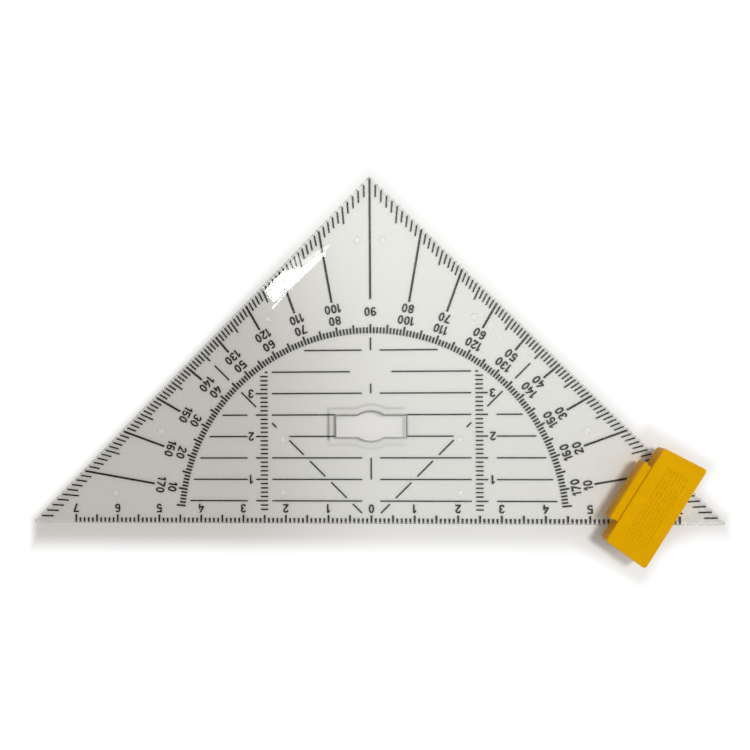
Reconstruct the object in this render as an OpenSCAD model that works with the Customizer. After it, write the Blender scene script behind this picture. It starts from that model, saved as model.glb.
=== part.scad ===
// Drafting triangle: a clear 45-45-90 set square with a protractor, degree scales and centimetre
// scales printed on its underside, and the loose grip that belongs in its slot.
// Millimetres and degrees. X runs along the long edge, Y from that edge to the right angle, Z up.
// The origin is the zero mark of the long edge, in the printed underside of the plate.

/* [Plate] */
// Length of the long edge between its sharp corners
long_edge = 160; // [144:2:240]
// Thickness of the clear plate
plate_t = 2; // [1.8:0.1:3]
// Radius of the three rounded tips
tip_r = 0.4; // [0.2:0.1:2]
// Chamfer along the upper edges
edge_chamfer = 0.1; // [0.05:0.05:0.6]

/* [Feet under the plate] */
// Diameter of the small feet that hold the print off the paper
pip_d = 1.6; // [1:0.1:2.2]
// Height of the feet
pip_h = 0.4; // [0.2:0.05:0.8]
// Distance of the four inner feet from the centre line
inner_pip_x = 20.6; // [19.5:0.1:21]
// Height of the inner feet nearest the long edge
inner_pip_low = 6.9; // [6.8:0.1:8]
// Height of the inner feet farthest from the long edge
inner_pip_high = 19.2; // [18:0.1:20]

/* [Grip slot] */
// Length of the slot
slot_len = 16.2; // [14:0.1:17]
// Width of the slot
slot_w = 4.9; // [4:0.1:5.4]
// Height of the slot's middle above the long edge
slot_y = 22.3; // [22:0.1:23]
// Length of the round bulge in each long side
bulge_len = 6; // [3:0.1:9]
// Depth of that bulge
bulge_h = 0.9; // [0.4:0.1:1.2]

/* [Grip] */
// Length of the grip's body along its outer edge
grip_len = 25.6; // [22:0.1:30]
// Height of the body above the plate when the grip is in its slot
grip_h = 10.5; // [8:0.1:14]
// Thickness of the body
grip_t = 5; // [4.8:0.1:6]
// Lean of the body's two end walls, which draw in towards the tongue
grip_lean = 4; // [0:0.5:8]
// Radius of the body's corners
grip_corner_r = 0.7; // [0.7:0.1:2]
// Radius of the edges round the broad faces
grip_edge_r = 0.3; // [0.2:0.1:0.6]
// Height of the whole tongue
tongue_h = 2; // [1.7:0.1:2.2]
// Height of the narrow neck between the body and the tongue's lip
neck_h = 1.1; // [0.6:0.05:1.3]
// Depth by which the neck stands back from the lip
neck_inset = 0.25; // [0.1:0.05:0.5]
// Slope on the lip's outer edges, which leads it into the slot
lead_in = 0.3; // [0.1:0.05:0.35]
// Room between the lip and the ends of the slot
end_clearance = 0.8; // [0.1:0.1:1.2]
// Room between the lip and the long sides of the slot
side_clearance = 0.15; // [0.05:0.05:0.4]

/* [Finger field of the grip] */
// Length of the ribbed field
field_len = 17.5; // [12:0.5:18]
// Distance of the field's middle from the middle of the body, away from the tongue
field_drop = 0.2; // [0:0.1:0.5]
// Depth of the grooves
field_depth = 0.1; // [0.05:0.05:0.4]
// Number of grooves
grooves = 7; // [4:1:8]
// Spacing of the grooves
groove_pitch = 0.8; // [0.6:0.05:0.9]
// Width of a groove
groove_w = 0.4; // [0.2:0.05:0.5]

/* [Where the loose grip lies] */
// Distance of the middle of the grip's body from the plate's right-hand tip, along the long edge
rest_from_tip = 17.2; // [14:0.1:25]
// Middle of the grip's body above the long edge
rest_y = 4.8; // [2:0.1:12]
// Turn of the grip's length from the long edge
rest_turn = 58; // [0:1:90]

/* [Print] */
// Thickness of the ink film
ink_t = 0.05; // [0.02:0.01:0.1]
// Width of the parallel lines and the dashes
line_w = 0.32; // [0.15:0.01:0.4]
// Width of the ticks of the legs and the height scales
tick_w = 0.35; // [0.15:0.05:0.45]
// Width of the ticks of the long edge and the protractor, which are bolder
bold_tick_w = 0.42; // [0.2:0.02:0.5]
// Width of the long rays
ray_w = 0.45; // [0.2:0.05:0.6]
// Blank left where one line would run into another print
line_gap = 1; // [0.6:0.1:1.2]

/* [Centimetre scales] */
// Distance between two ticks of the long edge and the height scales. At 1 they are true millimetres
mm_step = 1; // [0.8:0.05:1.25]

/* [Scale of the long edge] */
// Length of a millimetre tick
edge_tick = 1; // [0.6:0.1:1.4]
// Length of every fifth tick
edge_tick_long = 1.7; // [1.5:0.1:2]
// Blank between the long edge and the ticks
edge_inset = 0.05; // [0:0.05:0.3]
// Plain stretch left at each end of the long edge
edge_end = 9.5; // [8:0.5:14]

/* [Degree scales of the legs] */
// Distance of the ticks from the leg's edge
leg_inset = 0.2; // [0.1:0.05:0.6]
// Depth of the band that the ticks of one degree fill
leg_tick = 2.05; // [1:0.05:2.2]
// Depth of the band that the ticks of five degrees fill
leg_tick_long = 3.05; // [2.3:0.05:3.1]

/* [Protractor] */
// Room between the numerals and the ends of the rays, where the legs come nearest
ray_room = 4.52; // [3.5:0.01:8]
// Length of a tick of one degree
arc_tick = 1.4; // [0.8:0.1:1.8]
// Length of a tick of five degrees
arc_tick_long = 2.1; // [1.9:0.1:2.4]
// First and last degree of the arc, counted from the long edge
arc_start = 5; // [4:1:8]

/* [Parallel lines] */
// Spacing of the parallel lines
rule_step = 5; // [4:0.5:8]
// Blank left on each side of the centre line
centre_gap = 2.1; // [1.5:0.1:3]
// Half width of the blank field on the centre line
blank_half_w = 4.8; // [3:0.1:8]
// Lower end of that blank field
blank_low = 32.2; // [31:0.1:34]
// Upper end of that blank field
blank_high = 37; // [35.5:0.1:38]
// Half width of the blank window in the lines round an inner foot
pip_window = 1.5; // [1.4:0.1:2]

/* [Height scales] */
// Distance of the two height scales from the centre line
height_x = 25; // [24:0.1:26]
// First millimetre of the height scales
height_start = 3; // [2:1:5]
// Length of a millimetre tick
height_tick = 1.7; // [1:0.1:1.8]
// Extra length of every fifth tick
height_tick_extra = 1.1; // [0.6:0.1:1.3]

/* [Numerals] */
// Height of the numerals
num_h = 2.05; // [1.6:0.05:2.2]
// Width of one numeral
num_w = 1.25; // [1:0.05:1.3]
// Width of the numerals' strokes
num_stroke = 0.36; // [0.2:0.01:0.38]
// Room that one numeral takes in a row
num_pitch = 1.5; // [1.4:0.05:1.6]
// Room that the narrow numeral 1 takes
one_pitch = 1; // [0.9:0.05:1.4]
// Blank between the numerals and the ticks or lines beside them
num_gap = 0.5; // [0.3:0.05:0.6]

/* [Hidden] */
$fn = 48;

clear_plastic = [0.84, 0.86, 0.85, 0.35];
yellow_plastic = [0.85, 0.64, 0.02];
ink_black = [0.09, 0.09, 0.1];

// A leg's edge is the line where the distance along X plus the distance along Y is half_edge
half_edge = long_edge / 2;
cm = 10 * mm_step;
cm_count = floor((half_edge - edge_end) / cm);
left_and_right = [-1, 1];
quarter_turn = 90;
half_turn = 180;
ray_step = 10;

// The legs and the dashes stand at this angle. Along them, a millimetre of X takes this length
leg_angle = 45;
slant = 1 / cos(leg_angle);

// A cutter runs this far past the faces that it cuts
past = 1;

// The four feet on each side that stand in the clear field near the leg: the angle at which each is
// seen from the zero mark, and its distance in from the leg
outer_pips = [[87.4, 8.1], [63.2, 6], [23.2, 6.5], [6.3, 9.05]];

// Rings of the protractor, counted inwards from the legs
rays_r = half_edge / slant - leg_inset - ray_room;
outer_num_r = rays_r - num_gap - num_h / 2;
inner_num_r = outer_num_r - num_h - 1.5 * num_gap;
arc_r = inner_num_r - num_h / 2 - num_gap - arc_tick_long;
lines_r = arc_r - line_gap;

// The arc's foot runs down between two numerals of the long edge, or stops above one in its way
edge_num_top = edge_tick_long + num_gap + num_h;
foot_x = arc_r + arc_tick_long / 2;
foot_clear = abs(foot_x - cm * round(foot_x / cm)) > (arc_tick_long + num_w) / 2 + num_gap;
arc_first = foot_clear ? arc_start : max(arc_start, ceil(asin((edge_num_top + num_gap) / arc_r)));

// The slot reaches this far from its middle line, the bulges included
slot_half = slot_w / 2 + bulge_h;

// Rows beside the height scales, counted outwards from the centre line
height_inner = height_x - height_tick / 2;
height_outer = height_x + height_tick / 2;
height_num_x = height_outer + height_tick_extra + num_gap + num_w / 2;
lines_stop_x = height_inner - line_gap;
lines_restart_x = height_num_x + num_w / 2 + num_gap / 2;
shortest_line = 3;

// Half chord across the arc of radius r at height y, or 0 where the arc is lower than that
function half_chord(r, y) = r > y ? sqrt(r * r - y * y) : 0;

// Radius of the arc that has this chord and this height
function arc_radius(chord, height) = (chord * chord / 4 + height * height) / (2 * height);

// Distance from the origin to the leg's line that lies depth inside the edge, at this angle
function leg_r(angle, depth) = (half_edge - depth * slant) / (abs(cos(angle)) + sin(angle));

function digits_of(n) =
    n < 10 ? [n] : n < 100 ? [floor(n / 10), n % 10] : [1, floor(n / 10) % 10, n % 10];

// Plate

// The triangle with its three tips rounded: the straight sides and one disc in each tip
module plate_outline() {
    corner_x = half_edge - tip_r / tan(leg_angle / 2);
    apex_y = half_edge - tip_r * slant;
    side = tip_r / slant;
    polygon([
        [-corner_x, 0], [corner_x, 0], [corner_x + side, tip_r + side], [side, apex_y + side],
        [-side, apex_y + side], [-corner_x - side, tip_r + side]
    ]);
    for (s = left_and_right) translate([s * corner_x, tip_r]) circle(tip_r);
    translate([0, apex_y]) circle(tip_r);
}

// A bar on its edge, which takes the chamfer off the upper edge along X
module chamfer_cutter() {
    bar = edge_chamfer * slant;
    translate([0, 0, plate_t]) rotate([leg_angle, 0, 0]) cube([2 * long_edge, bar, bar], center = true);
}

// Outline of the grip slot, with a bulge in the middle of each long side
module slot_outline() {
    bulge_r = arc_radius(bulge_len, bulge_h);
    square([slot_len, slot_w], center = true);
    for (s = left_and_right) intersection() {
        translate([0, s * (slot_w / 2 + bulge_h - bulge_r)]) circle(bulge_r, $fn = 96);
        translate([-bulge_len / 2, s > 0 ? 0 : -slot_w]) square([bulge_len, slot_w]);
    }
}

module pip(x, y) {
    translate([x, y, -pip_h]) cylinder(h = pip_h, d1 = 0.8 * pip_d, d2 = pip_d);
}

module plate() {
    color(clear_plastic) {
        difference() {
            linear_extrude(plate_t) plate_outline();
            translate([0, slot_y, -past]) linear_extrude(plate_t + 2 * past) slot_outline();
            chamfer_cutter();
            for (s = left_and_right) translate([s * half_edge, 0]) rotate(-s * leg_angle) chamfer_cutter();
        }
        for (s = left_and_right) {
            for (y = [inner_pip_low, inner_pip_high]) pip(s * inner_pip_x, y);
            for (p = outer_pips) {
                r = leg_r(p[0], p[1]);
                pip(s * r * cos(p[0]), r * sin(p[0]));
            }
        }
    }
}

// Grip

// The body's half length at a distance from its middle, counted towards the tongue
function grip_half_len(y) = grip_len / 2 - (y + grip_h / 2) * tan(grip_lean);

// The body is a block with leaning ends, round corners and rounded edges, its middle at the origin
module grip_body() {
    corner_y = grip_h / 2 - grip_corner_r;
    hull() for (a = [0:30:90]) {
        inset = grip_edge_r * (1 - cos(a));
        half_t = grip_t / 2 - grip_edge_r * (1 - sin(a));
        for (x = left_and_right, y = [-corner_y, corner_y])
            translate([x * (grip_half_len(y) - grip_corner_r / cos(grip_lean)), y])
                cylinder(h = 2 * half_t, r = grip_corner_r - inset, center = true, $fn = 32);
    }
}

// The grooves of one broad face, as round bars to cut away
module finger_grooves() {
    groove_r = arc_radius(groove_w, field_depth);
    for (i = [0:grooves - 1])
        translate([0, (i - (grooves - 1) / 2) * groove_pitch - field_drop])
            translate([0, 0, grip_t / 2 - field_depth + groove_r])
                rotate([0, 90, 0]) cylinder(h = field_len, r = groove_r, center = true, $fn = 24);
}

// Outline of the tongue from one side, from inside the body to the end of the lip
module tongue_outline(width) {
    root = 2 * grip_edge_r;
    lip = width / 2;
    neck = lip - neck_inset;
    polygon([
        [neck, -root], [neck, neck_h], [lip, neck_h], [lip, tongue_h - lead_in],
        [lip - lead_in, tongue_h], [lead_in - lip, tongue_h],
        [-lip, tongue_h - lead_in], [-lip, neck_h], [-neck, neck_h], [-neck, -root]
    ]);
}

// The tongue that goes into the slot has the same outline from its broad side and from its end
module tongue() {
    lip_len = slot_len - 2 * end_clearance;
    lip_t = slot_w - 2 * side_clearance;
    translate([0, grip_h / 2]) intersection() {
        linear_extrude(grip_t, center = true) tongue_outline(lip_len);
        rotate([90, 0, 90]) linear_extrude(slot_len, center = true) rotate(-90) tongue_outline(lip_t);
    }
}

// The grip lies on one broad face, with its tongue towards the middle of the plate
module grip() {
    color(yellow_plastic)
        translate([half_edge - rest_from_tip, rest_y, plate_t + grip_t / 2]) rotate(rest_turn) {
            difference() {
                grip_body();
                finger_grooves();
                mirror([0, 0, 1]) finger_grooves();
            }
            tongue();
        }
}

// Print

// Every print is a film that hangs under the plate
module film() {
    color(ink_black) translate([0, 0, -ink_t]) linear_extrude(ink_t) children();
}

// A line of width w from one distance to another, along X
module line(from, to, w) {
    translate([from, -w / 2]) square([to - from, w]);
}

module ray(angle, from, to, w) {
    rotate(angle) line(from, to, w);
}

// Numerals, drawn upright with the middle of their base at the origin

// An oval of four arcs: two long sides, and two ends with the radius end_r
module oval(w, h, end_r) {
    end_y = h / 2 - end_r;
    side_r = (w * w / 4 + end_y * end_y - end_r * end_r) / (w - 2 * end_r);
    intersection() {
        translate([side_r - w / 2, 0]) circle(side_r);
        translate([w / 2 - side_r, 0]) circle(side_r);
        square([w, 2 * end_y * side_r / (side_r - end_r)], center = true);
    }
    for (s = left_and_right) translate([0, s * end_y]) circle(end_r);
}

module ring(r) {
    difference() {
        circle(r);
        circle(r - num_stroke);
    }
}

module zero() {
    end_r = 0.4 * num_w;
    translate([0, num_h / 2]) difference() {
        oval(num_w, num_h, end_r);
        oval(num_w - 2 * num_stroke, num_h - 2 * num_stroke, end_r - num_stroke);
    }
}

module one() {
    flag = 0.16 * num_h;
    polygon([
        [0, 0], [num_stroke, 0], [num_stroke, num_h], [0, num_h], [-flag, num_h - flag],
        [-flag, num_h - flag - 1.3 * num_stroke], [0, num_h - 1.3 * num_stroke]
    ]);
}

module two() {
    r = num_w / 2;
    translate([0, num_h - r]) intersection() {
        ring(r);
        translate([-r, 0]) square([num_w, r]);
    }
    polygon([
        [-r, 0], [r, 0], [r, num_stroke], [-r + 1.5 * num_stroke, num_stroke],
        [r, num_h - r], [r - num_stroke, num_h - r], [-r, num_stroke]
    ]);
}

// Two rings, one on the other, that share the stroke where they meet
module eight() {
    r = (num_h + num_stroke) / 4;
    translate([0, r]) ring(r);
    translate([0, num_h - r]) ring(r);
}

module three() {
    open = 1.6 * num_stroke;
    difference() {
        eight();
        translate([-num_w, open]) square([0.96 * num_w, num_h - 2 * open]);
    }
}

// The stem is short, and only the slanted stroke reaches the top
module four() {
    bar_y = 0.24 * num_h;
    slant_x = 0.05 * num_w;
    translate([-num_w / 2, bar_y]) square([num_w, num_stroke]);
    translate([0.15 * num_w, 0]) square([num_stroke, 0.6 * num_h]);
    polygon([
        [slant_x, num_h], [-num_w / 2, bar_y + num_stroke],
        [-num_w / 2 + 1.2 * num_stroke, bar_y + num_stroke], [slant_x + 1.2 * num_stroke, num_h]
    ]);
}

// The stem's foot is flush with the side of the bowl, which is open on the left below it
module five() {
    r = num_w / 2;
    hook = 1.4 * num_stroke;
    stem_low = num_w - 1.2 * num_stroke;
    stem_x = half_chord(r, stem_low - r);
    translate([-stem_x, num_h - num_stroke]) square([stem_x + 0.46 * num_w, num_stroke]);
    translate([-stem_x, stem_low]) square([num_stroke, num_h - stem_low]);
    difference() {
        translate([0, r]) ring(r);
        translate([-num_w, hook]) square([0.92 * num_w, stem_low - hook]);
    }
}

// A ring, a stem on its left and an arm that bends over from the stem
module six() {
    r = num_w / 2;
    arm_end = 35;
    translate([0, r]) ring(r);
    translate([-r, r]) square([num_stroke, num_h - 2 * r]);
    translate([0, num_h - r]) difference() {
        ring(r);
        translate([-num_w, -num_w]) square([2 * num_w, num_w]);
        polygon([[0, 0], [num_w, 0], [num_w, num_w * tan(arm_end)]]);
    }
}

module seven() {
    translate([-num_w / 2, num_h - num_stroke]) square([num_w, num_stroke]);
    polygon([
        [num_w / 2, num_h - num_stroke], [num_w / 2 - 1.2 * num_stroke, num_h - num_stroke],
        [-0.3 * num_w, 0], [-0.3 * num_w + 1.1 * num_stroke, 0]
    ]);
}

module nine() {
    translate([0, num_h]) rotate(half_turn) six();
}

module digit(n) {
    if (n == 0) zero();
    if (n == 1) one();
    if (n == 2) two();
    if (n == 3) three();
    if (n == 4) four();
    if (n == 5) five();
    if (n == 6) six();
    if (n == 7) seven();
    if (n == 8) eight();
    if (n == 9) nine();
}

function room_of(digit) = digit == 1 ? one_pitch : num_pitch;

// Room of the first few numerals in a row
function room_of_first(count, digits) =
    count == 0 ? 0 : room_of_first(count - 1, digits) + room_of(digits[count - 1]);

// A number whose middle is at the origin. Its head points to -Y, as all the numerals' heads point
// to the long edge or to the zero mark
module number(n) {
    digits = digits_of(n);
    half_room = room_of_first(len(digits), digits) / 2;
    rotate(half_turn) for (i = [0:len(digits) - 1])
        translate([room_of_first(i, digits) + room_of(digits[i]) / 2 - half_room, -num_h / 2])
            digit(digits[i]);
}

module number_on_ring(n, angle, r) {
    rotate(angle - quarter_turn) translate([0, r]) number(n);
}

// Scales

module long_edge_ticks() {
    film() for (i = [-10 * cm_count:10 * cm_count])
        translate([i * mm_step, 0]) rotate(quarter_turn)
            line(edge_inset, i % 5 == 0 ? edge_tick_long : edge_tick, bold_tick_w);
}

module long_edge_numerals() {
    film() for (k = [-cm_count:cm_count])
        translate([k * cm, edge_tick_long + num_gap + num_h / 2]) number(abs(k));
}

// Ticks on the degrees from first to last. The tens are left to the rays
module leg_ticks(first, last) {
    film() for (a = [first:last]) if (a % ray_step != 0)
        ray(a, leg_r(a, leg_inset + (a % 5 == 0 ? leg_tick_long : leg_tick)), leg_r(a, leg_inset), tick_w);
}

module left_leg_degree_ticks() { leg_ticks(quarter_turn + 1, half_turn - 1); }

module right_leg_degree_ticks() { leg_ticks(1, quarter_turn - 1); }

module arc_degree_ticks() {
    film() for (a = [arc_first:half_turn - arc_first])
        ray(a, arc_r, arc_r + (a % 5 == 0 ? arc_tick_long : arc_tick), bold_tick_w);
}

module degree_rays() {
    film() for (a = [ray_step:ray_step:half_turn - ray_step])
        ray(a, rays_r, leg_r(a, leg_inset), ray_w);
}

// The 90 stands midway between the two rows, and counts for both
module outer_degree_numerals() {
    film() for (a = [ray_step:ray_step:half_turn - ray_step])
        number_on_ring(a, a, a == quarter_turn ? (inner_num_r + outer_num_r) / 2 : outer_num_r);
}

// The inner row counts the other way round
module inner_degree_numerals() {
    film() for (a = [ray_step:ray_step:half_turn - ray_step])
        if (a != quarter_turn) number_on_ring(half_turn - a, a, inner_num_r);
}

// Where the line at height y starts beside the slot, the blank field or the centre line
function line_start(y) =
    abs(y - slot_y) < slot_half + line_w ? slot_len / 2 + line_w
    : y > blank_low && y < blank_high ? blank_half_w
    : centre_gap;

// Where it stops at an inner foot, the height scale or the arc
function line_stop(y) = min(
    half_chord(lines_r, y),
    min([
        for (p = [inner_pip_low, inner_pip_high])
            abs(y - p) < pip_window ? inner_pip_x - pip_window : lines_stop_x
    ])
);

// Whether there is room for the line at height y outside the height scale too
function has_outer_line(y) = half_chord(lines_r, y) > lines_restart_x + shortest_line;

module parallel_lines() {
    film() for (y = [rule_step:rule_step:lines_r], s = [0, 1]) mirror([s, 0]) translate([0, y]) {
        if (line_stop(y) > line_start(y) + shortest_line) line(line_start(y), line_stop(y), line_w);
        if (has_outer_line(y)) line(lines_restart_x, half_chord(lines_r, y), line_w);
    }
}

// Ticks from the first millimetre up to the arc, which cuts the last one short. Every fifth one is
// longer on its outer side
module height_scale() {
    top = floor(half_chord(lines_r, height_inner) / mm_step);
    film() for (i = [height_start:top]) {
        y = i * mm_step;
        stop = min(height_outer + (i % 5 == 0 ? height_tick_extra : 0), half_chord(lines_r, y));
        if (stop > height_inner + tick_w) translate([0, y]) line(height_inner, stop, tick_w);
    }
}

module left_height_scale() { mirror([1, 0]) height_scale(); }

module right_height_scale() { height_scale(); }

module height_numerals() {
    corner_x = height_num_x + num_w / 2;
    count = floor((half_chord(lines_r, corner_x) - num_h / 2) / cm);
    film() for (k = [1:count], s = left_and_right) translate([s * height_num_x, k * cm]) number(k);
}

// Dashes from each full centimetre to the next half one, cut short by the blank field and the arc
module centre_line() {
    film() for (y = [cm:cm:lines_r]) if (y + cm / 2 < slot_y - slot_half || y > slot_y + slot_half)
        translate([0, y]) rotate(quarter_turn)
            line(0, min(cm / 2, lines_r - y, y < blank_low ? blank_low - y : cm), line_w);
}

// Blank that a dash leaves at height y outside the height scale, where only some lines go on
function outer_gap(y) = has_outer_line(y) ? line_gap : 0;

// Dashes at 45 degrees between the parallel lines, clear of the feet and the height scales
module diagonal_lines() {
    low = (edge_tick_long + num_gap) * slant;
    pip_from = (inner_pip_x - pip_window) * slant;
    pip_to = (inner_pip_x + pip_window) * slant;
    restart = (height_outer + line_gap) * slant;
    film() for (a = [leg_angle, half_turn - leg_angle]) {
        for (y = [0:rule_step:lines_stop_x]) {
            from = max(low, y * slant + line_gap);
            to = min((y + rule_step) * slant - line_gap, lines_stop_x * slant);
            if (min(to, pip_from) > from + line_gap) ray(a, from, min(to, pip_from), line_w);
            if (to > max(from, pip_to) + line_gap) ray(a, max(from, pip_to), to, line_w);
        }
        for (y = [0:rule_step:lines_r / slant]) {
            from = max(restart, y * slant + outer_gap(y));
            to = min(lines_r, (y + rule_step) * slant - outer_gap(y + rule_step));
            if (to > from) ray(a, from, to, line_w);
        }
        ray(a, arc_r + arc_tick_long + line_gap, rays_r, line_w);
    }
}

plate();
grip();
long_edge_ticks();
long_edge_numerals();
left_leg_degree_ticks();
right_leg_degree_ticks();
arc_degree_ticks();
degree_rays();
outer_degree_numerals();
inner_degree_numerals();
parallel_lines();
left_height_scale();
right_height_scale();
height_numerals();
centre_line();
diagonal_lines();
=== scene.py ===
# %% [markdown]
# # A drafting triangle
#
# This lesson dresses a clear set square and its yellow grip, and takes a picture of them. Their
# shapes come from a CAD model, which is loaded first and never changed. What is left for us is
# what makes them look real: the clear plastic, the printed ink, the satin grip, the paper below
# them and the light. The model is in metres, and one millimetre is the unit we think in.

# %% Load the model
import math

import bpy
from mathutils import Matrix, Vector


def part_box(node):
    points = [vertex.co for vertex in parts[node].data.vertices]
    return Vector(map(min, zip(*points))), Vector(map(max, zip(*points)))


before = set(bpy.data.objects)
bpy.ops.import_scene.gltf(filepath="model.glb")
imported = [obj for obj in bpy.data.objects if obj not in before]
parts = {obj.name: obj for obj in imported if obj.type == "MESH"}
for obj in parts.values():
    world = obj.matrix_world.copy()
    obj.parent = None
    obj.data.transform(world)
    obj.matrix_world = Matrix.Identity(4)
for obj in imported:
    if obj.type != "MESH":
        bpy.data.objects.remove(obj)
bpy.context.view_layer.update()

MM = 0.001


# %% [markdown]
# ## The camera
#
# The picture was taken from straight above, about 18 cm over the plate. So close, a lens shows
# perspective: the thick grip looks a little larger than the scales under it. Blender can track
# a target by a constraint, but that doesn't know which way is up when it looks straight down.
# So we build the rotation ourselves from three things: a place, a target and a side that is up.
# The lamp uses the same helper later.

# %% Put things in the scene and aim them
def add_to_scene(name, data):
    """A new thing in the scene, made from a mesh or from the data of a camera or a lamp."""
    thing = bpy.data.objects.new(name, data)
    bpy.context.scene.collection.objects.link(thing)
    return thing


def aim(thing, place, target, up=(0, 1, 0)):
    """Put a thing in its place, with its -Z side to the target."""
    sight = Vector(target) - Vector(place)
    forward = sight.normalized()
    right = forward.cross(Vector(up)).normalized()
    turn = Matrix((right, right.cross(forward), -forward)).transposed()
    thing.matrix_world = Matrix.Translation(place) @ turn.to_4x4()
    print(thing.name, "is", round(sight.length / MM), "mm from what it looks at")


# %% The camera
EYE = Vector((11.2, 33.5, 181.7)) * MM
LOOKS_AT = Vector((0.95, 34.2, 0)) * MM
UP = (0.0061, 1, 0)
FILM_WIDTH, FOCAL_LENGTH = 36, 37.565

camera = add_to_scene("camera", bpy.data.cameras.new("camera"))
camera.data.sensor_width = FILM_WIDTH
camera.data.lens = FOCAL_LENGTH
camera.data.clip_start = 1 * MM
bpy.context.scene.camera = camera
aim(camera, EYE, LOOKS_AT, UP)

# %% [markdown]
# The colours are plain photographic ones, with paper that burns out to white. The Standard view
# shows light as it is and cuts it off at white. The default view would bend every bright tone
# down to grey.

# %% The view of colours
bpy.context.scene.view_settings.view_transform = "Standard"
print("view of colours:", bpy.context.scene.view_settings.view_transform)

# %% [markdown]
# ## Helpers for shader nodes
#
# Materials here are built from nodes. A few helpers keep that short. The first adds a node and
# feeds its inputs with numbers, colours or the outputs of other nodes.

# %% Add and feed nodes
def add(tree, kind, inputs=None, **settings):
    """Add a node, set its options, then feed its inputs by name or number."""
    new = tree.nodes.new(kind)
    for name, value in settings.items():
        setattr(new, name, value)
    for name, value in (inputs or {}).items():
        if isinstance(value, bpy.types.NodeSocket):
            tree.links.new(value, new.inputs[name])
        else:
            new.inputs[name].default_value = value
    return new


# %% [markdown]
# Five more stand for nodes that we need often: a sum, a product of several numbers, a sum with
# vectors, a ramp that turns one stretch of numbers into another, and a mix of two colours.

# %% Sums, ramps and mixes
def maths(tree, operation, *values, clamp=False):
    """A Math node, as the output that it gives."""
    node = add(tree, "ShaderNodeMath", dict(enumerate(values)),
               operation=operation, use_clamp=clamp)
    return node.outputs[0]


def product(tree, first, *others):
    """All the values multiplied by each other."""
    for other in others:
        first = maths(tree, "MULTIPLY", first, other)
    return first


def vectors(tree, operation, *values):
    """A Vector Math node, as the output that it gives: a number or a vector."""
    node = add(tree, "ShaderNodeVectorMath", dict(enumerate(values)), operation=operation)
    is_number = operation in ("LENGTH", "DISTANCE", "DOT_PRODUCT")
    return node.outputs["Value" if is_number else "Vector"]


def ramp(tree, value, low, high, to_low=0.0, to_high=1.0, smooth=False):
    """Turn the stretch from low to high into the one from to_low to to_high."""
    inputs = {"Value": value, "From Min": low, "From Max": high,
              "To Min": to_low, "To Max": to_high}
    kind = "SMOOTHSTEP" if smooth else "LINEAR"
    return add(tree, "ShaderNodeMapRange", inputs, interpolation_type=kind).outputs["Result"]


def blend(tree, share, one, other):
    """Mix two colours: share 0 gives the one, share 1 the other."""
    return add(tree, "ShaderNodeMix", {0: share, 6: one, 7: other}, data_type="RGBA").outputs[2]


# %% [markdown]
# The finishes also ask two things about the point that they colour: where it is on its own
# part, and how level the surface is there. The last three helpers start a material, end it, and
# say how large it has become.

# %% Questions to a surface
def own_place(tree):
    """Where a point is, in the part's own coordinates."""
    return add(tree, "ShaderNodeTexCoord").outputs["Object"]


def true_normal(tree):
    """The side to which the surface really faces, without any bump."""
    return add(tree, "ShaderNodeNewGeometry").outputs["True Normal"]


def levelness(tree):
    """1 where the surface lies flat, 0 on an upright wall."""
    sides = add(tree, "ShaderNodeSeparateXYZ", {0: true_normal(tree)})
    return maths(tree, "ABSOLUTE", sides.outputs["Z"])


# %% Start and end a material
def new_material(name):
    """A material without nodes, and its node tree."""
    material = bpy.data.materials.new(name)
    material.use_nodes = True
    material.node_tree.nodes.clear()
    return material, material.node_tree


def count(owner):
    """Say how many nodes a finished material, room or group has."""
    tree = getattr(owner, "node_tree", owner)
    print(owner.name, "has", len(tree.nodes), "nodes")


def end_material(material, shader):
    """Make a shader the surface of the material."""
    add(material.node_tree, "ShaderNodeOutputMaterial", {"Surface": shader.outputs[0]})
    count(material)


# %% [markdown]
# ## Effects that several finishes share
#
# Plastic from a mould, paper and dry ink all have a fine grain, each of its own size. One node
# group makes it for all three, so a change to the recipe reaches every finish. It is noise whose
# middle tones are stretched, because plain noise hardly leaves a mid grey.

# %% A group of nodes with named ends
def new_group(name, inputs, outputs):
    """A node group, the values that it is given, and the ends that it has to feed."""
    group = bpy.data.node_groups.new(name, "ShaderNodeTree")
    for label, default in inputs.items():
        socket = group.interface.new_socket(label, in_out="INPUT", socket_type="NodeSocketFloat")
        socket.default_value = default
    for label in outputs:
        group.interface.new_socket(label, in_out="OUTPUT", socket_type="NodeSocketFloat")
    return group, add(group, "NodeGroupInput").outputs, add(group, "NodeGroupOutput").inputs


def place_group(tree, group, **values):
    """Put a group into a material with the material's own numbers."""
    placed = add(tree, "ShaderNodeGroup", node_tree=group)
    for name, value in values.items():
        placed.inputs[name].default_value = value
    return placed


# %% Fine grain
MID_GREY, STRETCH = 0.5, 2.2

grain_group, given, ends = new_group(
    "fine grain", {"Fineness": 2000.0, "Contrast": 1.0}, ["Grain"])
noise = add(grain_group, "ShaderNodeTexNoise", {
    "Vector": own_place(grain_group), "Scale": given["Fineness"], "Detail": 3.0,
    "Roughness": 0.6})
centred = maths(grain_group, "SUBTRACT", noise.outputs["Fac"], MID_GREY)
gain = maths(grain_group, "MULTIPLY", given["Contrast"], STRETCH)
stretched = maths(grain_group, "MULTIPLY", centred, gain)
grey = maths(grain_group, "ADD", stretched, MID_GREY, clamp=True)
grain_group.links.new(grey, ends["Grain"])
count(grain_group)

# %% [markdown]
# A set square lives in a school bag, so its plastic gets hairline scratches, and so does the
# grip. Drawn one by one they would take hundreds of curves. Noise that is stretched a lot makes
# hairs at once: only its peaks show. Three layers at different turns look like wear from every
# side, and a slow noise keeps them to a few patches.

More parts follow.
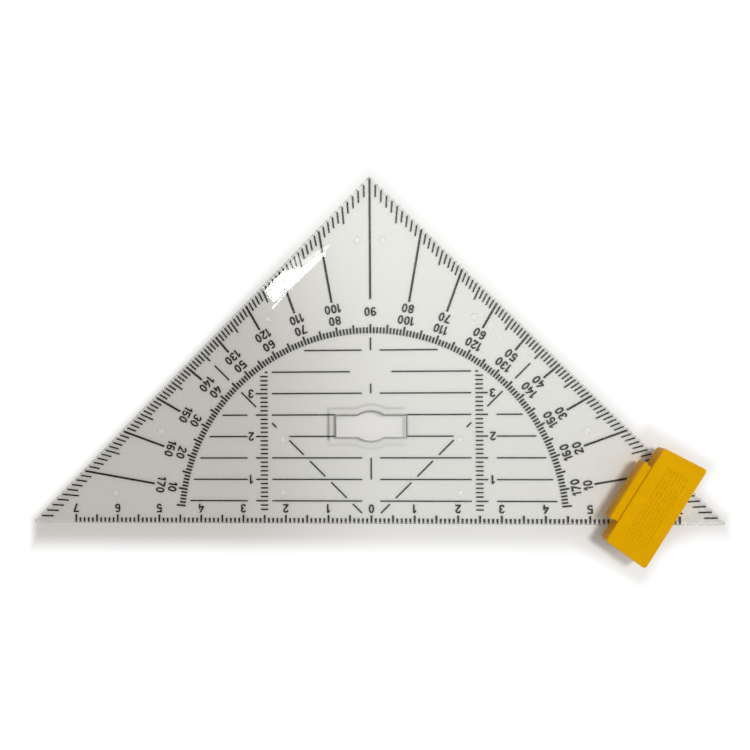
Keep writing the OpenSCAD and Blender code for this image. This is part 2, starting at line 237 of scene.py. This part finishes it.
# %% Hairline scratches
ALONG = 60.0
TURNS_AND_ACROSS = (0.5, 1500.0), (2.2, 1900.0), (1.2, 1300.0)
PEAK_FROM, PEAK_TO = 0.68, 0.74
PATCH_SCALE, PATCH_FROM, PATCH_TO = 45.0, 0.45, 0.7

hair_group, given, ends = new_group(
    "hairline scratches", {"Size": 1.0, "Amount": 0.5}, ["Mask"])
spot = own_place(hair_group)
layers = []
for turn, across in TURNS_AND_ACROSS:
    laid = add(hair_group, "ShaderNodeMapping", {
        "Vector": spot, "Rotation": (0, 0, turn), "Scale": (ALONG, across, ALONG)})
    sized = add(hair_group, "ShaderNodeVectorMath", {
        0: laid.outputs[0], "Scale": given["Size"]}, operation="SCALE")
    noise = add(hair_group, "ShaderNodeTexNoise", {
        "Vector": sized.outputs[0], "Scale": 1.0, "Detail": 1.0})
    layers.append(ramp(hair_group, noise.outputs["Fac"], PEAK_FROM, PEAK_TO))
worn = add(hair_group, "ShaderNodeTexNoise", {
    "Vector": spot, "Scale": PATCH_SCALE, "Detail": 2.0})
patches = ramp(hair_group, worn.outputs["Fac"], PATCH_FROM, PATCH_TO)
hairs = maths(hair_group, "MAXIMUM", layers[0],
              maths(hair_group, "MAXIMUM", layers[1], layers[2]))
hair_group.links.new(product(hair_group, hairs, patches, given["Amount"]), ends["Mask"])
count(hair_group)

# %% [markdown]
# ## The paper
#
# The triangle lies on pale paper. Close to the plate the paper keeps a soft grey, painted shade
# that follows the plate's outline, and away from it everything burns out to white. Two sheets of
# different tone would show a seam. One large plane does both: a mask turns its colour down to
# black away from the plate, and its glow up to plain white, so that lamp and room add nothing.

# %% The floor
REACH = 3.0
plate_low, plate_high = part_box("plate")

floor_mesh = bpy.data.meshes.new("floor")
floor_mesh.from_pydata(
    [(side * REACH, end * REACH, 0) for side, end in ((-1, -1), (1, -1), (1, 1), (-1, 1))],
    [], [(0, 1, 2, 3)])
floor = add_to_scene("floor", floor_mesh)
floor.location.z = plate_low.z
print("the floor lies at", round(plate_low.z / MM, 2), "mm, under the feet")

# %% [markdown]
# How far a point of the paper is from the plate follows from two sums: one below the long edge,
# and one past the legs, which works for both legs because they mirror each other. The larger
# of the two sets the glow. It comes quicker at the left leg than at the right one, and to the
# right of the grip the white comes a little closer to the long edge. Past both sharp corners
# all is white.

# %% Where the paper glows
ROUNDED_OFF = 0.57 * MM
BELOW_GREY, BELOW_WHITE = 2.7 * MM, 8.6 * MM
LEGS_GREY, LEFT_LEG_WHITE, RIGHT_LEG_WHITE = -0.6 * MM, 2.6 * MM, 4.0 * MM
LEFT_LEG_TO, RIGHT_LEG_FROM = -40 * MM, -20 * MM
SIDES_GREY, SIDES_WHITE = 79.5 * MM, 82.5 * MM
CLOSER_FROM, CLOSER_TO, CLOSER_BY = 64 * MM, 76 * MM, 3 * MM

paper, tree = new_material("pale paper")
paper_spot = add(tree, "ShaderNodeNewGeometry").outputs["Position"]
ground = add(tree, "ShaderNodeSeparateXYZ", {0: paper_spot})
x, y = ground.outputs["X"], ground.outputs["Y"]
from_middle = maths(tree, "ABSOLUTE", x)
half_edge = plate_high.x + ROUNDED_OFF
past_legs = maths(tree, "SUBTRACT", maths(tree, "ADD", from_middle, y), half_edge)
past_legs = maths(tree, "DIVIDE", past_legs, math.sqrt(2))
closer = ramp(tree, x, CLOSER_FROM, CLOSER_TO, 0.0, CLOSER_BY, smooth=True)
below_edge = maths(tree, "SUBTRACT", closer, y)
legs_white = ramp(tree, x, LEFT_LEG_TO, RIGHT_LEG_FROM, LEFT_LEG_WHITE, RIGHT_LEG_WHITE)
# Where the glow stays at 0, the paper keeps its painted grey shade round the plate.
glow = maths(tree, "MAXIMUM", ramp(tree, below_edge, BELOW_GREY, BELOW_WHITE, smooth=True),
             ramp(tree, past_legs, LEGS_GREY, legs_white, smooth=True))
glow = maths(tree, "MAXIMUM", glow,
             ramp(tree, from_middle, SIDES_GREY, SIDES_WHITE, smooth=True))
print("the glow starts", round(BELOW_GREY / MM, 1), "mm below the long edge and",
      round(-LEGS_GREY / MM, 1), "mm inside the legs, whose lines meet the edge at",
      round(half_edge / MM, 2), "mm")

# %% [markdown]
# Round the grip, where it reaches over the plate's edge, the paper keeps a painted grey shade for
# some millimetres, standing for the grip's own shadow. For that we need how far a point is from a
# turned oblong. The point is turned back about the oblong's middle, and folded by its absolute
# value into one quarter. What is left over after taking off the half sizes is the distance, and
# there the glow is turned down to a fifth.

# %% Painted shade round the grip
OBLONG_MIDDLE = Vector((62.4, 4.2, 0)) * MM
OBLONG_HALF = Vector((14.5, 7.4, 1000)) * MM
OBLONG_TURN = math.radians(59.1)
OBLONG_FADE, OBLONG_GLOW = 3.5 * MM, 0.2

turned = add(tree, "ShaderNodeVectorRotate", {
    "Vector": paper_spot, "Center": OBLONG_MIDDLE, "Angle": -OBLONG_TURN},
    rotation_type="Z_AXIS").outputs[0]
folded = vectors(tree, "ABSOLUTE", vectors(tree, "SUBTRACT", turned, OBLONG_MIDDLE))
left_over = vectors(tree, "MAXIMUM", vectors(tree, "SUBTRACT", folded, OBLONG_HALF), (0, 0, 0))
from_grip = vectors(tree, "LENGTH", left_over)
glow = maths(tree, "MULTIPLY", glow,
             ramp(tree, from_grip, 0.0, OBLONG_FADE, OBLONG_GLOW, 1.0, smooth=True))
print("the grey oblong is", [round(2 * half / MM, 1) for half in OBLONG_HALF[:2]],
      "mm, and fades over", round(OBLONG_FADE / MM, 1), "mm")

# %% [markdown]
# The left of the sheet lies in the shade of something beside the table, so its tone is lower.
# A soft step in the paper's own colour paints that shade without one more lamp. It turns a little
# to the left at the far end, and a slower step paints the far part paler, as painted light.

# %% Painted light and shade in the paper's tone
NEAR_PAPER = (0.85, 0.848, 0.84, 1)
FAR_LIT_PAPER = (0.95, 0.948, 0.94, 1)
SHADED_PAPER = (0.672, 0.657, 0.635, 1)
NEAR_TO, FAR_FROM = 14 * MM, 66 * MM
SHADED_TO, LIT_FROM = -36 * MM, 12 * MM
TURNS_FROM, TURNS_TO, TURNS_BY = 42 * MM, 66 * MM, 14 * MM

tone = blend(tree, ramp(tree, y, NEAR_TO, FAR_FROM), NEAR_PAPER, FAR_LIT_PAPER)
from_shade = maths(tree, "ADD", x, ramp(tree, y, TURNS_FROM, TURNS_TO, 0.0, TURNS_BY))
in_light = ramp(tree, from_shade, SHADED_TO, LIT_FROM, smooth=True)
tone = blend(tree, in_light, SHADED_PAPER, tone)
print("the paper passes from", SHADED_PAPER[:3], "to", NEAR_PAPER[:3], "over",
      round((LIT_FROM - SHADED_TO) / MM), "mm")

# %% [markdown]
# Under the plate, close to the grip, a painted warm tint stands for the yellow light that the
# grip throws back onto the paper. A narrow band along the long edge gets painted shade, for the
# plate's own shadow.

# %% Painted bounce light and shade from the triangle
WARM_BOUNCE_PAPER, WARMTH, WARM_REACH = (1.0, 0.86, 0.7, 1), 0.5, 3 * MM
INSIDE_LEGS, INSIDE_EDGE = (-1 * MM, -3 * MM), (0.0, 1.5 * MM)
BAND, BAND_DEPTH = (0.35, 0.34, 0.33, 1), 0.1
BAND_COMES, BAND_GOES = (-0.2 * MM, 0.6 * MM), (7.0 * MM, 1.4 * MM)

under_plate = maths(tree, "MULTIPLY", ramp(tree, past_legs, *INSIDE_LEGS),
                    ramp(tree, y, *INSIDE_EDGE))
warm = maths(tree, "MULTIPLY", under_plate,
             ramp(tree, from_grip, WARM_REACH, 0.0, 0.0, WARMTH, smooth=True))
tone = blend(tree, warm, tone, WARM_BOUNCE_PAPER)
in_edge_shade = product(tree, ramp(tree, below_edge, *BAND_COMES), ramp(tree, below_edge, *BAND_GOES),
                  BAND_DEPTH)
tone = blend(tree, in_edge_shade, tone, BAND)
print("the warm paper reaches", round(WARM_REACH / MM), "mm from the grip")

# %% [markdown]
# The fibres are a fine grain that bumps the surface and darkens it a little. The glow is just
# over plain white, so that the white is even. From below, the sheet lets us look through it, so
# that we can check the underside of the triangle.

# %% The paper's finish
FIBRE_TONE, FIBRE_SHARE = (0.6, 0.6, 0.59, 1), 0.03
BLACK = (0, 0, 0, 1)
GLOW_STRENGTH = 1.02

fibres = place_group(tree, grain_group, Fineness=1800.0, Contrast=1.0).outputs["Grain"]
tone = blend(tree, maths(tree, "MULTIPLY", fibres, FIBRE_SHARE), tone, FIBRE_TONE)
bump = add(tree, "ShaderNodeBump", {
    "Strength": 0.05, "Distance": 0.05 * MM, "Height": fibres})
sheet = add(tree, "ShaderNodeBsdfPrincipled", {
    "Base Color": blend(tree, glow, tone, BLACK), "Roughness": 0.9, "Specular IOR Level": 0.1,
    "Normal": bump.outputs["Normal"], "Emission Color": glow,
    "Emission Strength": GLOW_STRENGTH})
from_below = add(tree, "ShaderNodeNewGeometry").outputs["Backfacing"]
nothing = add(tree, "ShaderNodeBsdfTransparent")
end_material(paper, add(tree, "ShaderNodeMixShader", {
    0: from_below, 1: sheet.outputs[0], 2: nothing.outputs[0]}))
floor_mesh.materials.append(paper)

# %% [markdown]
# ## The light
#
# A lamp at the right, high up, gives about half of the light. It shades the grip's left side
# and lays a short soft shadow there. Its size sets how soft: seen from the plate it is as wide
# as a hand at arm's length. It is far away, so both ends of the plate get nearly the same. It
# stands where the plate's faces don't mirror it into the camera. Rays that come out of the
# plate's dull walls would find it only now and then, as white specks, so they don't see it.

# %% The lamp
MIDDLE = (0, 0.03, 0)
LAMP_PLACE, LAMP_SIZE, LAMP_POWER = Vector((0.38, 0.17, 1.02)), 0.2, 6.05

light = bpy.data.lights.new("key lamp", "AREA")
light.size = LAMP_SIZE
light.energy = LAMP_POWER
lamp = add_to_scene("key lamp", light)
lamp.visible_camera = False
lamp.visible_transmission = False
aim(lamp, LAMP_PLACE, MIDDLE)
print("seen from the plate it is", round(math.degrees(LAMP_SIZE / LAMP_PLACE.length)),
      "degrees wide")

# %% [markdown]
# The other half of the light is the room, which fills the shadows from all sides. Mirrors show
# more of it: its ceiling is bright over the middle, dimmer over the right and dark over the left.
# A clear face gives back a twelfth of what is above it, which lifts the right of the plate and
# leaves the left deep. One world does both. Mirrored rays get a strength that follows their
# direction, and all others an even one. The camera itself sees plain white beyond the sheet.

# %% The room
EVEN_LIGHT = 0.49
ROOM_COLOUR = (1, 0.98, 0.95, 1)
DARK_CEILING, BRIGHT_CEILING = 0.04, 0.85
DARK_TO, BRIGHT_FROM = -0.24, -0.03
CHANGES = ("X", 0.12, 0.4, 1.0, 0.6), ("Y", -0.1, 0.2, 0.87, 1.6), ("Z", 0.3, 0.9, 0.5, 1.0)

world = bpy.data.worlds.new("room")
world.use_nodes = True
bpy.context.scene.world = world
tree = world.node_tree
tree.nodes.clear()
towards = add(tree, "ShaderNodeSeparateXYZ", {
    0: add(tree, "ShaderNodeTexCoord").outputs["Generated"]})
ceiling = ramp(tree, towards.outputs["X"], DARK_TO, BRIGHT_FROM, DARK_CEILING, BRIGHT_CEILING,
               smooth=True)
for axis, low, high, to_low, to_high in CHANGES:
    change = ramp(tree, towards.outputs[axis], low, high, to_low, to_high)
    ceiling = maths(tree, "MULTIPLY", ceiling, change)
rays = add(tree, "ShaderNodeLightPath")
strength = add(tree, "ShaderNodeMix", {
    0: rays.outputs["Is Glossy Ray"], 2: EVEN_LIGHT, 3: ceiling})
room = add(tree, "ShaderNodeBackground", {
    "Color": ROOM_COLOUR, "Strength": strength.outputs[0]})
white = add(tree, "ShaderNodeBackground", {"Color": (1, 1, 1, 1), "Strength": 1.0})
seen = add(tree, "ShaderNodeMixShader", {
    0: rays.outputs["Is Camera Ray"], 1: room.outputs[0], 2: white.outputs[0]})
add(tree, "ShaderNodeOutputWorld", {"Surface": seen.outputs[0]})
count(world)

# %% [markdown]
# A bright window is mirrored in the plate near its left leg, as a white wedge that hides some
# of the ticks, with a thin bar below it and a fainter pane beside it that only pales the ticks.
# Paint on the plate could fake it in one view only. A mirror law finds the real window: from
# each corner of the wedge on the plate, the sight line from the camera bounces up and meets the
# window's plane. Only mirrored rays see these panes, so they light nothing else.

# %% The mirrored window
WINDOW_Z = 0.5


def mirrored_pane(name, outline, strength):
    """A glowing pane that is mirrored in the plate inside an outline given in millimetres."""
    corners = []
    for across, up in outline:
        spot = Vector((across * MM, up * MM, plate_high.z))
        sight = spot - EYE
        bounced = Vector((sight.x, sight.y, -sight.z))
        corners.append(spot + bounced * (WINDOW_Z / bounced.z))
    mesh = bpy.data.meshes.new(name)
    mesh.from_pydata(corners, [], [tuple(range(len(corners)))])
    pane = add_to_scene(name, mesh)
    for ray in ("camera", "diffuse", "transmission", "volume_scatter", "shadow"):
        setattr(pane, "visible_" + ray, False)
    shine, tree = new_material(name + " light")
    end_material(shine, add(tree, "ShaderNodeEmission", {"Strength": strength}))
    mesh.materials.append(shine)
    width = max(corner.x for corner in corners) - min(corner.x for corner in corners)
    print(name, "is", round(width / MM), "mm wide")


mirrored_pane("window", [
    (-24.4, 54.0), (-22.2, 56.4), (-20.0, 58.4), (-18.7, 58.8), (-15.6, 59.2), (-11.2, 62.3),
    (-10.1, 62.8), (-10.2, 62.1), (-15.1, 57.5), (-18.9, 53.9), (-19.5, 53.6), (-22.2, 51.2),
    (-22.7, 51.6)], 30.0)
mirrored_pane("window bar", [
    (-19.1, 53.5), (-22.6, 49.6), (-22.9, 49.8), (-22.2, 50.7), (-19.4, 53.5)], 15.0)
mirrored_pane("window edge", [
    (-19.9, 58.5), (-19.2, 59.5), (-16.7, 62.1), (-15.3, 60.9), (-11.1, 63.7), (-9.0, 64.5),
    (-9.7, 63.4), (-11.2, 62.4), (-15.6, 59.3), (-18.6, 58.9)], 6.0)

# %% [markdown]
# ## The clear plate
#
# The plate is cast or moulded from acrylic, which bends light: looking down through it, the
# print seems closer and the side walls mirror its ends. A mix of a mirror and a see-through
# shader would miss that. A Principled shader with full transmission does it, with the index of
# acrylic, 1.49. First come the marks on its skin: scratches, and the long slow waves that a
# moulded face always has.

# %% The skin of the plate
WAVES_IN_A_METRE = 28.0

clear, tree = new_material("clear plastic")
plate_place = own_place(tree)
scratches = place_group(tree, hair_group, Size=1.0, Amount=0.4).outputs["Mask"]
waves = add(tree, "ShaderNodeTexNoise", {
    "Vector": plate_place, "Scale": WAVES_IN_A_METRE, "Detail": 1.0})
flow = add(tree, "ShaderNodeBump", {
    "Strength": 0.03, "Distance": 0.1 * MM, "Height": waves.outputs["Fac"]})
plate_skin = add(tree, "ShaderNodeBump", {
    "Strength": 0.15, "Distance": 0.01 * MM, "Height": scratches,
    "Normal": flow.outputs["Normal"]}, invert=True)
print("waves on the plate are about", round(1 / WAVES_IN_A_METRE / MM), "mm long")

# %% [markdown]
# The broad faces are polished, and the narrow walls are duller. How level the surface is tells
# one from the other. The walls are also painted a little greyer, as painted shade for the dark
# room that a clear wall mirrors back, and the slot's walls are painted darker still. The sides
# of the feet are painted darkest, as the shade under the plate. A distance from the slot's middle
# finds the slot, and the height finds the feet.

# %% Faces and walls
FACE_TINT = (0.905, 0.91, 0.89, 1)
WALL_SHADE_TINT = (0.84, 0.85, 0.83, 1)
SLOT_SHADE_TINT = (0.60, 0.61, 0.59, 1)
FOOT_SHADE_TINT = (0.25, 0.25, 0.24, 1)
WALL_ROUGH, FACE_ROUGH, SCRATCH_ROUGH = 0.35, 0.012, 0.2
WALL_TO, FACE_FROM = 0.75, 0.95
SLOT = Vector((0, 22.3, 1)) * MM
SLOT_TO, PLATE_FROM = 11 * MM, 12 * MM
PLATE_TO, FOOT_FROM = -0.02 * MM, -0.06 * MM

flatness = ramp(tree, levelness(tree), WALL_TO, FACE_FROM)
from_slot = vectors(tree, "DISTANCE", plate_place, SLOT)
beyond_slot = ramp(tree, from_slot, SLOT_TO, PLATE_FROM)
plate_xyz = add(tree, "ShaderNodeSeparateXYZ", {0: plate_place}).outputs
in_foot = ramp(tree, plate_xyz["Z"], PLATE_TO, FOOT_FROM)
wall_shade_tint = blend(tree, beyond_slot, SLOT_SHADE_TINT, blend(tree, in_foot, WALL_SHADE_TINT, FOOT_SHADE_TINT))
plate_roughness = maths(
    tree, "ADD", ramp(tree, flatness, 0.0, 1.0, WALL_ROUGH, FACE_ROUGH),
    maths(tree, "MULTIPLY", scratches, SCRATCH_ROUGH))
print("a face lets through", FACE_TINT[0], "a wall", WALL_SHADE_TINT[0], "the slot's wall",
      SLOT_SHADE_TINT[0], "and a foot's side", FOOT_SHADE_TINT[0])

# %% [markdown]
# Two painted dark lines follow the slot's outline, an oblong with a round bulge in each long
# side. We get the distance from the outline by sums: one for the oblong, one for the circle of
# the bulge, and the nearer of the two counts. Inside the slot the distance is negative.

# %% How far a point is from the slot
SLOT_HALF_LENGTH, SLOT_HALF_WIDTH = 8.1 * MM, 2.45 * MM
BULGE_LENGTH, BULGE_HEIGHT = 6.0 * MM, 0.9 * MM

bulge_radius = (BULGE_LENGTH ** 2 / 4 + BULGE_HEIGHT ** 2) / (2 * BULGE_HEIGHT)
bulge_sink = bulge_radius - SLOT_HALF_WIDTH - BULGE_HEIGHT
upwards = maths(tree, "SUBTRACT", plate_xyz["Y"], SLOT.y)
sideways = maths(tree, "ABSOLUTE", plate_xyz["X"])
outwards = maths(tree, "ABSOLUTE", upwards)
from_oblong = maths(tree, "MAXIMUM", maths(tree, "SUBTRACT", sideways, SLOT_HALF_LENGTH),
                    maths(tree, "SUBTRACT", outwards, SLOT_HALF_WIDTH))
arm = add(tree, "ShaderNodeCombineXYZ", {
    "X": sideways, "Y": maths(tree, "ADD", outwards, bulge_sink)})
from_bulge = maths(tree, "SUBTRACT", vectors(tree, "LENGTH", arm.outputs[0]), bulge_radius)
from_outline = maths(tree, "MINIMUM", from_oblong, from_bulge)
print("each bulge of the slot is part of a circle of", round(bulge_radius / MM, 2), "mm")

# %% [markdown]
# The slot's rim is rounded, and a rounded rim of clear plastic looks dark, because it throws
# the light sideways; here that dark line is painted shade. A fainter painted line a little way
# out stands for the shadow that the slot's walls cast on the paper below. That one is strongest
# on the left, away from the lamp, and fades out past the slot's right end. Both lines are only on
# the level face, not on the slot's walls.

# %% Painted shade and shadow lines round the slot
SHADE_LINE_TINT = (0.02, 0.02, 0.02, 1)
RIM_FADE = 0.6 * MM, 0.15 * MM
RIM_NEAR_DEPTH, RIM_FAR_DEPTH = 0.45, 0.72
WALL_SHADOW_AWAY, WALL_SHADOW_FADE = 1.75 * MM, (0.5 * MM, 0.1 * MM)
WALL_SHADOW_NEAR_DEPTH, WALL_SHADOW_FAR_DEPTH, WALL_SHADOW_LEFT_DEPTH = 0.1, 0.2, 0.55
LEFT_END, RIGHT_END, CORNER = (-7.6 * MM, -8.4 * MM), (8.5 * MM, 7.5 * MM), (3.6 * MM, 2.8 * MM)

rim_depth = ramp(tree, upwards, -2.6 * MM, -1.6 * MM, RIM_NEAR_DEPTH, RIM_FAR_DEPTH)
rim_shade_line = maths(tree, "MULTIPLY", ramp(tree, from_outline, *RIM_FADE), rim_depth)
from_wall_shadow = maths(tree, "ABSOLUTE", maths(tree, "SUBTRACT", from_outline, WALL_SHADOW_AWAY))
at_left = maths(tree, "MULTIPLY", ramp(tree, plate_xyz["X"], *LEFT_END, 0.0, WALL_SHADOW_LEFT_DEPTH),
                ramp(tree, outwards, *CORNER))
wall_shadow_depth = maths(tree, "MAXIMUM", at_left, ramp(
    tree, upwards, -2 * MM, 2 * MM, WALL_SHADOW_NEAR_DEPTH, WALL_SHADOW_FAR_DEPTH))
wall_shadow_line = product(tree, ramp(tree, from_wall_shadow, *WALL_SHADOW_FADE), wall_shadow_depth,
                    ramp(tree, plate_xyz["X"], *RIGHT_END))
slot_shade_lines = maths(tree, "MULTIPLY", flatness, maths(tree, "MAXIMUM", rim_shade_line, wall_shadow_line))
plate_tint = blend(tree, slot_shade_lines, blend(tree, flatness, wall_shade_tint, FACE_TINT), SHADE_LINE_TINT)
# What this prints is where the painted shadow of the slot's walls runs.
print("the painted wall shadow runs", round(WALL_SHADOW_AWAY / MM, 2), "mm outside the slot")

# %% [markdown]
# A clear sheet pipes light inside it to its outer edges, which therefore look lighter than the
# rest. Following that light through dozens of bounces is slow and noisy. A faint glow on the
# walls of both legs stands for it. The feet catch light in the same way, so each end of a foot
# shows as a small white spot.

# %% Light in the edges
EDGE_GLOW, FOOT_TIMES = 0.14, 1.8
LONG_EDGE_TO, LEGS_FROM = 0.5 * MM, 1.5 * MM
FOOT_END = -0.3 * MM, -0.36 * MM
ACRYLIC = 1.49

on_leg = product(tree, maths(tree, "SUBTRACT", 1.0, flatness), beyond_slot,
                 maths(tree, "SUBTRACT", 1.0, in_foot),
                 ramp(tree, plate_xyz["Y"], LONG_EDGE_TO, LEGS_FROM))
on_foot = maths(tree, "MULTIPLY", flatness, ramp(tree, plate_xyz["Z"], *FOOT_END))
lit = maths(tree, "MAXIMUM", on_leg, maths(tree, "MULTIPLY", on_foot, FOOT_TIMES))
plastic = add(tree, "ShaderNodeBsdfPrincipled", {
    "Base Color": plate_tint, "Roughness": plate_roughness, "IOR": ACRYLIC,
    "Transmission Weight": 1.0, "Normal": plate_skin.outputs["Normal"],
    "Emission Color": lit, "Emission Strength": EDGE_GLOW})
print("the walls of the legs glow with", EDGE_GLOW, "of white, and the feet with",
      round(EDGE_GLOW * FOOT_TIMES, 2))

# %% [markdown]
# Light that has to find its way through bent surfaces to a lamp renders as noise. So rays that
# only look for lamps pass straight through a faint grey instead. The walls hold back more of
# them than the faces do, as the real edges do, and so the plate gets its thin shadow. The
# slot's walls hold back half, which leaves a darker strip inside the slot's right end.

# %% Clear for lamps too
FACE_PASSES = (0.985, 0.985, 0.98, 1)
WALL_PASSES = (0.8, 0.81, 0.8, 1)
SLOT_PASSES = (0.5, 0.5, 0.5, 1)

walls_pass = blend(tree, beyond_slot, SLOT_PASSES, WALL_PASSES)
straight = add(tree, "ShaderNodeBsdfTransparent", {
    "Color": blend(tree, flatness, walls_pass, FACE_PASSES)})
rays = add(tree, "ShaderNodeLightPath")
looks_for_lamps = maths(
    tree, "MAXIMUM", rays.outputs["Is Shadow Ray"], rays.outputs["Is Diffuse Ray"])
end_material(clear, add(tree, "ShaderNodeMixShader", {
    0: looks_for_lamps, 1: plastic.outputs[0], 2: straight.outputs[0]}))

# %% [markdown]
# ## The printed ink
#
# The scales are a thin film of black ink, screen printed on the underside. Screen ink is matt
# and not quite even: small specks stay thinner, so its black wanders a little between coal and
# soot. The fine grain gives both the specks and their tiny bumps.

# %% Black ink
COAL, SOOT = (0.004, 0.004, 0.005, 1), (0.018, 0.017, 0.016, 1)

ink, tree = new_material("black ink")
specks = place_group(tree, grain_group, Fineness=2600.0, Contrast=1.2).outputs["Grain"]
film = add(tree, "ShaderNodeBump", {
    "Strength": 0.15, "Distance": 0.01 * MM, "Height": specks})
end_material(ink, add(tree, "ShaderNodeBsdfPrincipled", {
    "Base Color": blend(tree, specks, COAL, SOOT),
    "Roughness": ramp(tree, specks, 0.0, 1.0, 0.6, 0.8), "Specular IOR Level": 0.2,
    "Normal": film.outputs["Normal"]}))

# %% [markdown]
# ## The yellow grip
#
# The grip is moulded in a warm, deep yellow with a satin face. Its colour swims a little where
# the melt flowed. Its narrow sides are painted deeper, nearly orange, as painted shade for the
# sides that the lamp leaves dark, and its rims are painted paler, as a painted highlight.
# Vertex paint could mark the rims, but this grip has no vertices to spare. The Bevel node finds
# them instead: it rounds the normal near an edge, and where the rounded normal leaves the true
# one there is an edge.

# %% The colour of the grip, with painted shade and highlights
YELLOWS = (0.70, 0.368, 0.0003, 1), (0.747, 0.40, 0.0006, 1)
SIDE_SHADE_YELLOW, SIDE_SHADE_SHARE = (0.59, 0.25, 0.0003, 1), 0.8
RIM_HIGHLIGHT_YELLOW, RIM_HIGHLIGHT_SHARE = (0.76, 0.5, 0.02, 1), 0.3
RIM_RADIUS, RIM_FROM, RIM_TO = 0.12 * MM, 0.995, 0.9
FACE_TO, SIDE_FROM = 0.4, 0.1

yellow, tree = new_material("yellow plastic")
melt = add(tree, "ShaderNodeTexNoise", {
    "Vector": own_place(tree), "Scale": 90.0, "Detail": 3.0, "Distortion": 1.0})
grip_colour = blend(tree, ramp(tree, melt.outputs["Fac"], 0.3, 0.7), *YELLOWS)
on_shaded_side = ramp(tree, levelness(tree), FACE_TO, SIDE_FROM, 0.0, SIDE_SHADE_SHARE)
grip_colour = blend(tree, on_shaded_side, grip_colour, SIDE_SHADE_YELLOW)
rounded = add(tree, "ShaderNodeBevel", {"Radius": RIM_RADIUS}, samples=6).outputs[0]
agreement = vectors(tree, "DOT_PRODUCT", rounded, true_normal(tree))
# The rims found here get a painted highlight.
rims = ramp(tree, agreement, RIM_FROM, RIM_TO)
grip_colour = blend(tree, maths(tree, "MULTIPLY", rims, RIM_HIGHLIGHT_SHARE), grip_colour, RIM_HIGHLIGHT_YELLOW)
print("the grip's yellows:", *YELLOWS, "and at its sides", SIDE_SHADE_YELLOW)

# %% [markdown]
# Its skin has the fine grain of the mould, which breaks up the shine, and the same hairline
# scratches as the plate, finer and shorter. Yellow plastic of this depth keeps blue out even
# of its shine, so the mirror colour is tinted too, and a little light passes under the skin.

# %% The skin of the grip
SHINE = (1.0, 0.66, 0.03, 1)
UNDER_SKIN, UNDER_SKIN_REACH = 0.3, 0.8 * MM
SMOOTH, ROUGH, SCUFF_ROUGH = 0.36, 0.5, 0.15

grain = place_group(tree, grain_group, Fineness=2200.0, Contrast=1.0).outputs["Grain"]
scuffs = place_group(tree, hair_group, Size=1.6, Amount=0.5).outputs["Mask"]
satin = add(tree, "ShaderNodeBump", {
    "Strength": 0.2, "Distance": 0.02 * MM, "Height": grain, "Normal": rounded})
grip_skin = add(tree, "ShaderNodeBump", {
    "Strength": 0.2, "Distance": 0.01 * MM, "Height": scuffs,
    "Normal": satin.outputs["Normal"]}, invert=True)
grip_roughness = maths(tree, "ADD", ramp(tree, grain, 0.0, 1.0, SMOOTH, ROUGH),
                       maths(tree, "MULTIPLY", scuffs, SCUFF_ROUGH))
end_material(yellow, add(tree, "ShaderNodeBsdfPrincipled", {
    "Base Color": grip_colour, "Roughness": grip_roughness, "IOR": 1.5,
    "Specular IOR Level": 0.15, "Specular Tint": SHINE,
    "Normal": grip_skin.outputs["Normal"], "Subsurface Weight": UNDER_SKIN,
    "Subsurface Scale": UNDER_SKIN_REACH, "Subsurface Radius": (1.0, 0.45, 0.1)}))

# %% [markdown]
# ## The finishes go on
#
# Every part of the model gets one finish. The plate and the grip have their own, and all other
# parts are printed scales, so the ink is what remains.

# %% Hand out the finishes
for name, part in parts.items():
    finish = {"plate": clear, "grip": yellow}.get(name, ink)
    part.data.materials.clear()
    part.data.materials.append(finish)
    print(name, "gets", finish.name)
